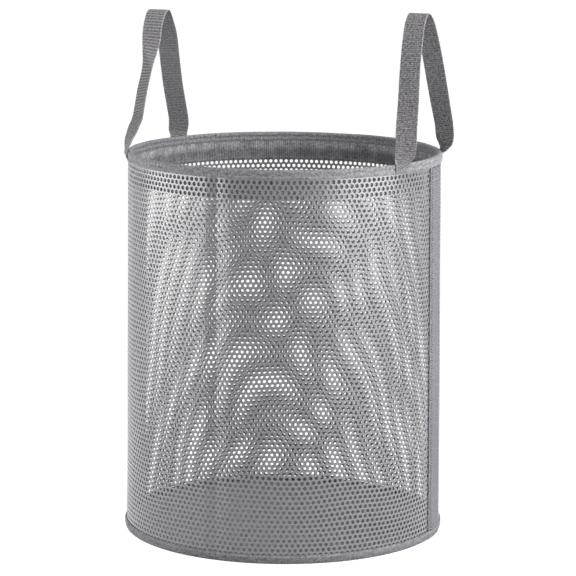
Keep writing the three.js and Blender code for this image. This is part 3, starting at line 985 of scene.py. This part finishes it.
# Side seams: casing outside, backing tape inside, a spring wire stay in the pocket between hems
seam = {
    "halfWidth": 19 * mm,
    "hem": 3 * mm,
    "standOff": 0.3 * mm,
    "casingCloth": 0.55 * mm,
    "hemColumns": np.array([14.2, 15, 15.6, 16, 16.4, 17, 18, 18.7, 19]) * mm,
    "middleColumns": np.linspace(-13.4, 13.4, 28) * mm,
    "footRows": np.linspace(0, 20, 16) * mm,
    "middleEnds": (22 * mm, 24 * mm),
    "middleRows": 110,
    "headRows": np.linspace(-22.5, 0, 44) * mm,
    "hemLift": 1.35 * mm,
    "hemEdge": {"depth": 0.35 * mm, "width": 0.55 * mm},
    "outerEdge": {"depth": 0.3 * mm, "width": 0.5 * mm},
    "pocketLift": 2.1 * mm,
    "pocketHalf": 14 * mm,
    "ridgeLift": 3.0 * mm,
    "ridgeWidth": 2.4 * mm,
    "slack": {"depth": 0.25 * mm, "length": 31 * mm, "middle": 2 * mm, "width": 7 * mm},
    "footLift": 2.75 * mm,
    "footLength": 16 * mm,
    "footFlat": 4 * mm,
    "barTacks": 4,
    "barTackPitch": 5.2 * mm,
    "barTackRise": 0.6 * mm,
    "barTackSink": 0.15 * mm,
    "barTackEnds": (11 * mm, 13 * mm),
    "barTackStart": (-1 * mm, 0.5 * mm),
    "tapeInner": 1.7 * mm,
    "tapeOuter": 1.1 * mm,
    "tapeEdge": {"depth": 0.12 * mm, "width": 2 * mm},
    "tapeRows": 60,
    "tapeColumns": 25,
    "stayHalf": 13 * mm,
    "stayCorner": 10 * mm,
    "stayWire": 1.8 * mm,
    "stayPlay": 0.02 * mm,
    "stayHeadroom": 4 * mm,
    "stayFootroom": 0.1 * mm,
    "stayRows": 60,
    "stayCornerSteps": 13,
    "staySides": 12,
    "stitchOffset": 17.4 * mm,
    "stitchEndRoom": 2 * mm,
    "stitchPoints": 160,
    "threadOutside": 0.06 * mm,
    "patternShift": 1.0,
}
casingThread = {"length": 2.2 * mm, "width": 0.6 * mm, "rise": 0.45 * mm, "pitch": 3.2 * mm}


def onSeam(centre, offset, height, lift):
    angle = centre + offset / rimRadius
    radius = plainRadius(height) + lift
    return np.stack([radius * np.cos(angle), radius * np.sin(angle), height + 0 * angle], -1)


def casingLift(offset, height):
    look, away = seam, np.abs(offset)
    hemStart = look["halfWidth"] - look["hem"]
    towardsHem = smoothStep(away, look["pocketHalf"], hemStart)
    pocket = look["pocketLift"] + (look["hemLift"] - look["pocketLift"]) * towardsHem
    legs = (look["ridgeLift"] - look["pocketLift"]) * bump(away, look["stayHalf"], look["ridgeWidth"])
    wave = look["slack"]
    slack = wave["depth"] * np.sin(height / wave["length"]) * bump(offset, wave["middle"], wave["width"])
    lift = pocket + legs + slack
    for middle, edge in ((hemStart, look["hemEdge"]), (look["halfWidth"], look["outerEdge"])):
        lift = lift - edge["depth"] * bump(away, middle, edge["width"])
    foot = 1 - smoothStep(height, casingBottom + look["footFlat"], casingBottom + look["footLength"])
    lift = lift + foot * (1 - towardsHem) * (look["footLift"] - lift)
    aboveTacks = height - casingTop + look["barTacks"] * look["barTackPitch"]
    tacked = smoothStep(aboveTacks, *look["barTackStart"]) * (1 - smoothStep(away, *look["barTackEnds"]))
    ridge = look["barTackRise"] * np.cos(aboveTacks / look["barTackPitch"] * turn)
    return lift + tacked * (ridge - look["barTackSink"])


def stripMesh(name, centre, offsets, heights, face, back):
    # a strip along the seam; face and back are how far its two sides stand off from the wall
    every = np.concatenate([offsets, offsets[::-1]])
    lifts = np.hstack([face, back[:, ::-1]])
    points = onSeam(centre, every[None, :], heights[:, None], lifts)
    return gridMesh(name, points, heights, np.append(every, every[0]) + seam["patternShift"])


def casingMesh(name, centre):
    look = seam
    low, high = look["middleEnds"]
    middle = np.linspace(casingBottom + low, casingTop - high, look["middleRows"])
    heights = np.concatenate([casingBottom + look["footRows"], middle, casingTop + look["headRows"]])
    edge = look["hemColumns"]
    offsets = np.concatenate([-edge[::-1], look["middleColumns"], edge])
    outer = casingLift(offsets[None, :], heights[:, None])
    hemmed = np.abs(offsets) > look["halfWidth"] - look["hem"]
    inner = np.maximum(outer - look["casingCloth"], look["standOff"])
    inner = np.where(hemmed[None, :], look["standOff"], inner)
    return stripMesh(name, centre, offsets, heights, outer, inner)


def tapeMesh(name, centre):
    look = seam
    heights = np.linspace(wallBottom, wallTop, look["tapeRows"])
    offsets = np.linspace(-look["halfWidth"], look["halfWidth"], look["tapeColumns"])
    edge = look["tapeEdge"]["depth"] * bump(np.abs(offsets), look["halfWidth"], look["tapeEdge"]["width"])
    inner = np.tile(-look["tapeInner"] - edge, (len(heights), 1))
    return stripMesh(name, centre, offsets, heights, inner, np.full(inner.shape, -look["tapeOuter"]))


def stayMesh(name, centre):
    look = seam
    half, corner, wire = look["stayHalf"], look["stayCorner"], look["stayWire"] / 2
    bottom = stayBottom + wire + look["stayFootroom"]
    legs = np.linspace(casingTop - look["stayHeadroom"], bottom + corner, look["stayRows"])
    swing = np.linspace(0, math.pi / 2, look["stayCornerSteps"] + 1)[1:]
    offset = np.concatenate([np.full(len(legs), half), half - corner + corner * np.cos(swing)])
    height = np.concatenate([legs, bottom + corner - corner * np.sin(swing)])
    offset, height = np.append(offset, -offset[::-1]), np.append(height, height[::-1])
    route = onSeam(centre, offset, height, look["standOff"] + wire)
    return tubeMesh(name, route, wire - look["stayPlay"], look["staySides"])


def casingRow(centre, offset):
    look = seam
    count = look["stitchPoints"]
    heights = np.linspace(casingBottom + look["stitchEndRoom"], casingTop - look["stitchEndRoom"], count)
    offsets = np.full(count, offset)
    line = onSeam(centre, offsets, heights, casingLift(offsets, heights) + look["threadOutside"])
    return line, np.broadcast_to([math.cos(centre), math.sin(centre), 0.0], (count, 3)), False


for side, centre in (("Right", rightSeam), ("Left", leftSeam)):
    node = side.lower()
    casing = addPiece("seamCasing" + side, casingMesh("seamCasing" + side, centre),
                      cloths["casingCloth"])
    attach(casing, "base")
    squashWithBody(casing)
    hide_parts("seam_casing_" + node)
    tape = addPiece("backingTape" + side, tapeMesh("backingTape" + side, centre),
                    cloths["bindingCloth"])
    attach(tape, "base")
    squashWithBody(tape)
    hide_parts("backing_tape_" + node)
    stay = addPiece("sideStay" + side, stayMesh("sideStay" + side, centre), steel)
    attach(stay, "base")
    squashWithBody(stay)
    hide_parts("side_stay_" + node)
    rows = [casingRow(centre, offset) for offset in (-seam["stitchOffset"], seam["stitchOffset"])]
    stitches = sewRows("casingStitches" + side, "base", rows, casingThread)
    squashWithBody(stitches)
print("side seams made")

# Handle straps: one length of webbing each, from its front tab over the grip to its back tab.
# Each station gives x, y, z in millimetres and the way the strap's width faces, in degrees.
strap = {
    "width": 25 * mm,
    "thickness": 1.2 * mm,
    "edgeRound": 0.55 * mm,
    "edgeSteps": 6,
    "cloth": {"Right": "webbingCloth", "Left": "coarseWebbing"},
    "spacing": 0.5 * mm,
    "stationSteps": 40,
    "columns": 9,
    "selvedgeRise": 0.12,
    "selvedgeRidge": (1.0 * mm, 0.6 * mm),
    "selvedgePale": (1.1 * mm, 0.5 * mm),
    "ribEnds": (1.6 * mm, 0.8 * mm),
    "ribSharpness": 4,
    "ribPitch": {"Right": 2.5 * mm, "Left": 3.7 * mm},
    "ribRise": {"Right": 0.17 * mm, "Left": 0.28 * mm},
    # painted shade in the rib valleys, and painted light and shade above and below a line across the strap's
    # outer face
    "ribShade": {"Right": 0.2, "Left": 0.75},
    "shadeAboveLine": {"Right": 0.52, "Left": -0.25},
    "shadeBelowLine": {"Right": 0.78, "Left": 0.45},
    "shadeLineHeight": 568 * mm,
    "shadeLineSlope": 0.9,
    "shadeLineFade": {"Right": 30 * mm, "Left": 1.0 * mm},
    "bendStart": 463 * mm,
    "bendEnd": 488 * mm,
    "cutReach": 16 * mm,
    "cutRise": {"Right": 8 * mm, "Left": 0.0},
    "tabLength": 9 * mm,
    "hugFade": 14 * mm,
    "stitchRows": (2.2 * mm, 8.6 * mm),
    "stitchReach": 10.8 * mm,
    "stitchPoints": 12,
    "threadOutside": 0.02 * mm,
}
strapThread = {"length": 2.6 * mm, "width": 0.7 * mm, "rise": 0.5 * mm, "pitch": 3.0 * mm}
strapStations = {
    "Right": [
        (173.2, -79.7, 452, 65), (173.8, -80.2, 463, 61), (175, -81.6, 470, 42), (176.6, -82.8, 480, 28),
        (177.2, -83, 490, 22), (176.8, -81, 503, 16), (174.5, -67, 533, 6), (171, -50.5, 566, 0),
        (168.3, -31, 603, 0), (166.8, -16, 622, -2), (166.3, 2, 631.3, -2), (167, 17.5, 624, -2),
        (168.3, 32, 605, 0), (171, 47, 573, 0), (173.5, 56, 546, 0), (175.7, 67, 517, -4),
        (177.6, 76, 493, -10), (178, 79.5, 478, -14), (178.5, 80, 470, -30), (177, 79, 464, -50),
        (174.2, 77.9, 459, -66), (174.1, 77.9, 452, -66)],
    "Left": [
        (-174.2, -77.5, 454, -66), (-174.3, -76.9, 461, -66), (-174.2, -71, 469, -58),
        (-174.3, -64.5, 477, -48), (-174, -54, 488, -43), (-173.6, -42.5, 500, -42),
        (-172.6, -28.5, 532, -41), (-169.6, -19, 560, -39), (-167.3, -17, 579, -21), (-166, -15.5, 592, -6),
        (-165.3, -13, 607, -2), (-164.5, -2, 623.6, 2), (-164.4, 9, 625.7, 2), (-165.4, 25, 611, 6),
        (-167.8, 42, 592, 12), (-171, 59, 560, 15), (-172.8, 73, 530, 15), (-172.8, 86, 500, 15),
        (-172.6, 92, 484, 16), (-172.8, 92.6, 475, 26), (-173, 90.4, 469, 44), (-171.4, 86, 463, 61),
        (-170.8, 85.3, 452, 63.5)],
}


def smoothRoute(stations, spacing):
    # a centripetal curve through the stations, then even steps along it
    values = np.array(stations) * [mm, mm, mm, 1]
    padded = np.vstack([2 * values[0] - values[1], values, 2 * values[-1] - values[-2]])
    gaps = np.linalg.norm(np.diff(padded[:, :3], axis=0), axis=1)
    knots = np.concatenate([[0], np.cumsum(gaps ** 0.5)])
    # three rounds of mixing neighbours, and the knots that each mix runs between
    rounds = (((0, 1), (1, 2), (2, 3)), ((0, 2), (1, 3)), ((1, 2),))
    fine = []
    for k in range(1, len(padded) - 2):
        mixed, times = padded[k - 1:k + 3], knots[k - 1:k + 3]
        t = np.linspace(times[1], times[2], strap["stationSteps"], endpoint=False)[:, None]
        for pairs in rounds:
            shares = [(t - times[low]) / (times[high] - times[low]) for low, high in pairs]
            mixed = [(1 - share) * mixed[j] + share * mixed[j + 1] for j, share in enumerate(shares)]
        fine.append(mixed[0])
    fine = np.vstack(fine + [values[-1:]])
    run = runLength(fine[:, :3])
    steps = np.arange(0, run[-1], spacing)
    return np.stack([np.interp(steps, run, fine[:, axis]) for axis in range(4)], 1), steps


def strapFrames(stations):
    # at every step: the middle, the way across, the way out of the strap's face and the length so far
    route, steps = smoothRoute(stations, strap["spacing"])
    middle, facing = route[:, :3], np.radians(route[:, 3])
    ahead = unit(np.gradient(middle, axis=0))
    across = squareTo(ahead, np.stack([np.cos(facing), np.sin(facing), 0 * facing], 1))
    return middle, across, np.cross(across, ahead), steps


def tabCut(side, step, lowCut):
    # the first end is cut on the slant: one corner ends higher than the other
    near = 1 - smoothStep(step, 0, strap["cutReach"])
    return lowCut * near * (side / strap["width"] + 0.5)


def tabHug(side, steps):
    # both ends bend round the rim binding that they are sewn to
    fromEnd = np.minimum(steps, steps[-1] - steps)
    near = 1 - smoothStep(fromEnd, strap["tabLength"], strap["tabLength"] + strap["hugFade"])
    return near[:, None] * side[None, :] ** 2 / (2 * rimRadius)


def fromEdge(side, low, high):  # 0 over the strap's middle and 1 at its edges
    half = strap["width"] / 2
    return smoothStep(np.abs(side), half - low, half - high)


def strapMesh(hand, frames):
    look = strap
    middle, across, away, steps = frames
    half, thick, soft = look["width"] / 2, look["thickness"] / 2, look["edgeRound"]
    flat = (half - soft) * np.sin(np.linspace(-math.pi / 2, math.pi / 2, look["columns"]))
    swing = np.linspace(-math.pi / 2, math.pi / 2, look["edgeSteps"] + 1)[1:-1]
    edge, faceRise = half - soft + soft * np.cos(swing), np.ones(len(flat))
    side = np.concatenate([flat, edge, flat[::-1], -edge])
    rise = np.concatenate([-faceRise, np.sin(swing), faceRise, -np.sin(swing)])
    valley = 1 - np.abs(np.sin(steps / look["ribPitch"][hand] * math.pi)) ** look["ribSharpness"]
    ribs = valley[:, None] * (1 - fromEdge(side, *look["ribEnds"]))
    inset, width = look["selvedgeRidge"]
    selvedge = 1 + look["selvedgeRise"] * bump(np.abs(side), half - inset, width)
    depth = thick * selvedge - look["ribRise"][hand] * ribs
    points = (middle[:, None] + side[None, :, None] * across[:, None]
              + (rise * depth)[:, :, None] * away[:, None])
    points[:, :, 2] += tabCut(side[None, :], steps[:, None], look["cutRise"][hand])
    points[:, :, :2] -= tabHug(side, steps)[:, :, None] * unit(middle[:, :2])[:, None]
    outline = np.stack([side, rise * thick], 1)
    mesh = gridMesh("handleStrap" + hand, points, steps, profileSteps(outline))
    paint(mesh, "selvedge", np.tile(fromEdge(side, *look["selvedgePale"]), len(steps)))
    # painted light and shade on the outer face: one level above a line across the strap and a darker one
    # below it, with painted shade in the rib valleys; the inner face takes full painted shade
    line = look["shadeLineHeight"] - look["shadeLineSlope"] * side[None, :]
    above = smoothStep(points[:, :, 2] - line, -look["shadeLineFade"][hand], look["shadeLineFade"][hand])
    outerShade = (look["shadeBelowLine"][hand] + (look["shadeAboveLine"][hand] - look["shadeBelowLine"][hand]) * above
                 + look["ribShade"][hand] * ribs)
    return paint(mesh, "paintedShade", outerShade + (1 - outerShade) * (1 - rise[None, :]) / 2)


def strapRow(hand, frames, step):  # one row of stitches across the strap, on its outer side
    look = strap
    middle, across, away, steps = frames
    sides = np.linspace(-look["stitchReach"], look["stitchReach"], look["stitchPoints"])
    outside = away[step] * np.sign(away[step] @ (middle[step] * [1, 1, 0]))
    lift = look["thickness"] / 2 + look["threadOutside"]
    line = middle[step] + sides[:, None] * across[step] + outside * lift
    line[:, 2] += tabCut(sides, steps[step], look["cutRise"][hand])
    line[:, :2] -= np.outer(sides ** 2 / (2 * rimRadius), unit(middle[step:step + 1, :2])[0])
    return line, np.broadcast_to(outside, (look["stitchPoints"], 3)), False


for side in ("Right", "Left"):
    node = side.lower()
    frames = strapFrames(strapStations[side])
    webbing = addPiece("handleStrap" + side, strapMesh(side, frames), cloths[strap["cloth"][side]])
    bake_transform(webbing)
    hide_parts("handle_loop_" + node, f"handle_tab_{node}_front", f"handle_tab_{node}_back")
    steps = frames[3]
    # two rows of stitches hold each end of the strap to the rim
    rows = []
    for reach in strap["stitchRows"]:
        first = np.searchsorted(steps, reach)
        rows += [strapRow(side, frames, step) for step in (first, len(steps) - 1 - first)]
    sewRows("handleStitches" + side, "rim", rows, strapThread)
print("handles made")

# The hoops and their sleeves come from the frame
for node in ("top_hoop", "bottom_hoop", "top_hoop_sleeve", "bottom_hoop_sleeve"):
    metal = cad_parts[node].data
    metal.materials.clear()
    metal.materials.append(steel)

# Camera, floor and light
camera = {
    "position": (1.07286, -3.11581, 0.87265),
    "heading": 18.913,
    "pitch": 9.966,
    "roll": 0.284,
    "lens": 171.9,
    "sensor": 36,
}
studio = {
    "floorSize": 24.0, "floorColour": (0.3, 0.3, 0.3, 1), "floorRoughness": 0.9, "floorSpecular": 0.1,
    "floorGlow": 0.97, "roomLight": 0.15, "aim": (0, 0, 0.25),
    "lights": {
        "leftSoftbox": {"position": (-1.20, -0.66, 0.36), "width": 1.6, "height": 0.6, "power": 13},
        "rightSoftbox": {"position": (1.33, -0.31, 0.55), "width": 1.3, "height": 0.7, "power": 18},
        "frontFill": {"position": (0.9, -3.4, 1.5), "width": 2.2, "height": 1.6, "power": 1.5},
        "topLight": {"position": (0.9, 0.3, 2.4), "width": 1.6, "height": 1.6, "power": 30},
    },
}
lens = bpy.data.cameras.new("photoCamera")
lens.lens, lens.sensor_width = camera["lens"], camera["sensor"]
viewpoint = newObject("photoCamera", lens)
viewpoint.matrix_world = (Matrix.Translation(camera["position"])
                          @ Matrix.Rotation(math.radians(camera["heading"]), 4, "Z")
                          @ Matrix.Rotation(math.radians(90 - camera["pitch"]), 4, "X")
                          @ Matrix.Rotation(math.radians(camera["roll"]), 4, "Z"))
bpy.context.scene.camera = viewpoint


def seenRays(tree):  # 1 for what the camera sees, straight, in a reflection or through a gap
    rays = place(tree, "ShaderNodeLightPath").outputs
    seen = calc(tree, "MAXIMUM", rays["Is Camera Ray"], rays["Is Glossy Ray"])
    return calc(tree, "MAXIMUM", seen, rays["Is Transmission Ray"])


def paleFloor():
    mesh = bpy.data.meshes.new("studioFloor")
    reach = studio["floorSize"] / 2
    mesh.from_pydata([(-reach, -reach, 0), (reach, -reach, 0), (reach, reach, 0), (-reach, reach, 0)],
                     [], [(0, 1, 2, 3)])
    floor = newObject("studioFloor", mesh)
    material, nodes, shader = newMaterial("paleFloor")
    shader.inputs["Base Color"].default_value = studio["floorColour"]
    shader.inputs["Roughness"].default_value = studio["floorRoughness"]
    shader.inputs["Specular IOR Level"].default_value = studio["floorSpecular"]
    glow = calc(nodes, "MULTIPLY", seenRays(nodes), studio["floorGlow"])
    shine = place(nodes, "ShaderNodeEmission", {"Color": (1, 1, 1, 1), "Strength": glow})
    both = place(nodes, "ShaderNodeAddShader", {0: shader.outputs[0], 1: shine.outputs[0]})
    feed(nodes, nodes.nodes["Material Output"].inputs["Surface"], both.outputs[0])
    mesh.materials.append(material)


def softLight(name, look):
    light = bpy.data.lights.new(name, "AREA")
    light.shape, light.size, light.size_y = "RECTANGLE", look["width"], look["height"]
    light.energy = look["power"]
    lamp = newObject(name, light)
    aim = (Vector(studio["aim"]) - Vector(look["position"])).to_track_quat("-Z", "Y")
    lamp.matrix_world = Matrix.Translation(look["position"]) @ aim.to_matrix().to_4x4()


paleFloor()
for name, look in studio["lights"].items():
    softLight(name, look)

room = bpy.data.worlds.new("studioRoom")
bpy.context.scene.world = room
room.use_nodes = True
sky = room.node_tree
background = sky.nodes["Background"]
background.inputs["Color"].default_value = (1, 1, 1, 1)
level = calc(sky, "MULTIPLY_ADD", seenRays(sky), 1 - studio["roomLight"], studio["roomLight"])
feed(sky, background.inputs["Strength"], level)
bpy.context.scene.view_settings.view_transform = "Standard"
print("camera, floor and lights made")
